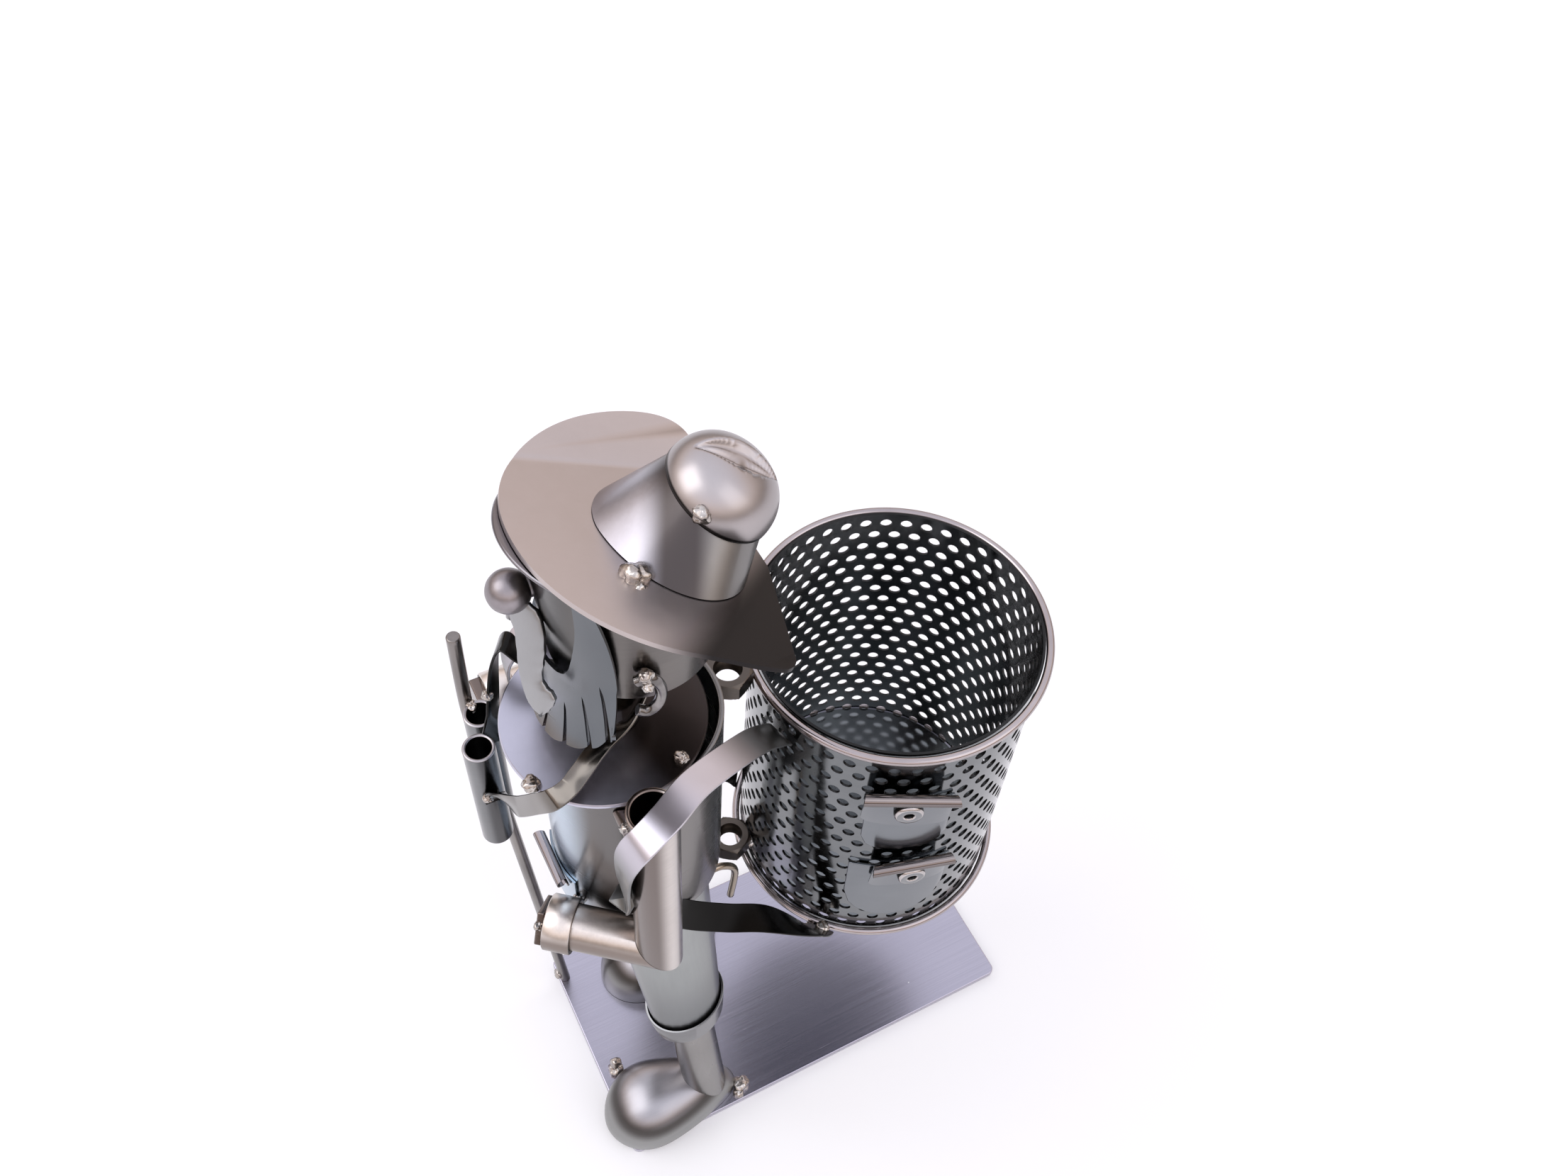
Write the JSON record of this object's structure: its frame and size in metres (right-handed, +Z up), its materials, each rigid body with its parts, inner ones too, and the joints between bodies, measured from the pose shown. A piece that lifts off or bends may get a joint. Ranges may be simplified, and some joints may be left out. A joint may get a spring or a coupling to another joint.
{
  "type": "sculptural wine bottle holder",
  "caption": "Welded metal hiker with hat, beard, stick and binoculars on a flat base plate, carrying a round perforated basket on the back that holds one bottle.",
  "frame": {"origin": "centre of the underside of the base plate", "axes": "-Y is the way the figure faces, +Y the basket side, +X the figure's left, +Z up"},
  "size_m": [0.0944, 0.1828, 0.336],
  "materials": {
    "plate_steel": "satin lacquered, fine grain along the plate",
    "tinted_steel": "satin lacquered with a faint bronze tint",
    "black_nickel": "glossy black nickel",
    "nose_ball": "matt dark brown",
    "dark_nut": "dark bronze"
  },
  "bodies": {
    "root": {"base_plate": "plate_steel", "jacket_torso": "tinted_steel", "jacket_pocket": "tinted_steel", "jacket_pocket_flap": "tinted_steel", "left_upper_arm": "tinted_steel", "right_upper_arm": "tinted_steel", "left_forearm": "tinted_steel", "right_forearm": "tinted_steel", "left_arm_stub": "tinted_steel", "right_arm_stub": "tinted_steel", "neck": "tinted_steel", "head_tube": "tinted_steel", "left_ear": "tinted_steel", "right_ear": "tinted_steel", "hat_crown": "tinted_steel", "hat_cap": "tinted_steel", "hat_brim": "tinted_steel", "brow_disc": "tinted_steel", "beard": "tinted_steel", "left_moustache": "tinted_steel", "right_moustache": "tinted_steel", "left_sleeve_cuff": "tinted_steel", "right_sleeve_cuff": "tinted_steel", "left_hand": "tinted_steel", "right_hand": "tinted_steel", "shoulder_disc": "tinted_steel", "left_trouser_leg": "tinted_steel", "right_trouser_leg": "tinted_steel", "left_trouser_cuff": "tinted_steel", "right_trouser_cuff": "tinted_steel", "left_lower_leg": "tinted_steel", "right_lower_leg": "tinted_steel", "left_shoe": "tinted_steel", "right_shoe": "tinted_steel", "hip_disc": "tinted_steel", "walking_stick": "tinted_steel", "left_binocular": "tinted_steel", "right_binocular": "tinted_steel", "belt_hook": "tinted_steel", "neck_strap": "black_nickel", "left_shoulder_strap": "black_nickel", "right_shoulder_strap": "black_nickel", "left_lower_strap": "black_nickel", "right_lower_strap": "black_nickel", "basket_shell": "black_nickel", "basket_floor": "black_nickel", "basket_top_rim": "black_nickel", "basket_bottom_rim": "black_nickel", "upper_pocket": "black_nickel", "upper_pocket_flap": "black_nickel", "lower_pocket": "black_nickel", "lower_pocket_flap": "black_nickel", "nose_ball": "nose_ball", "upper_nut": "dark_nut", "lower_nut": "dark_nut", "upper_pocket_rivet": "dark_nut", "lower_pocket_rivet": "dark_nut"}
  },
  "joints": []
}
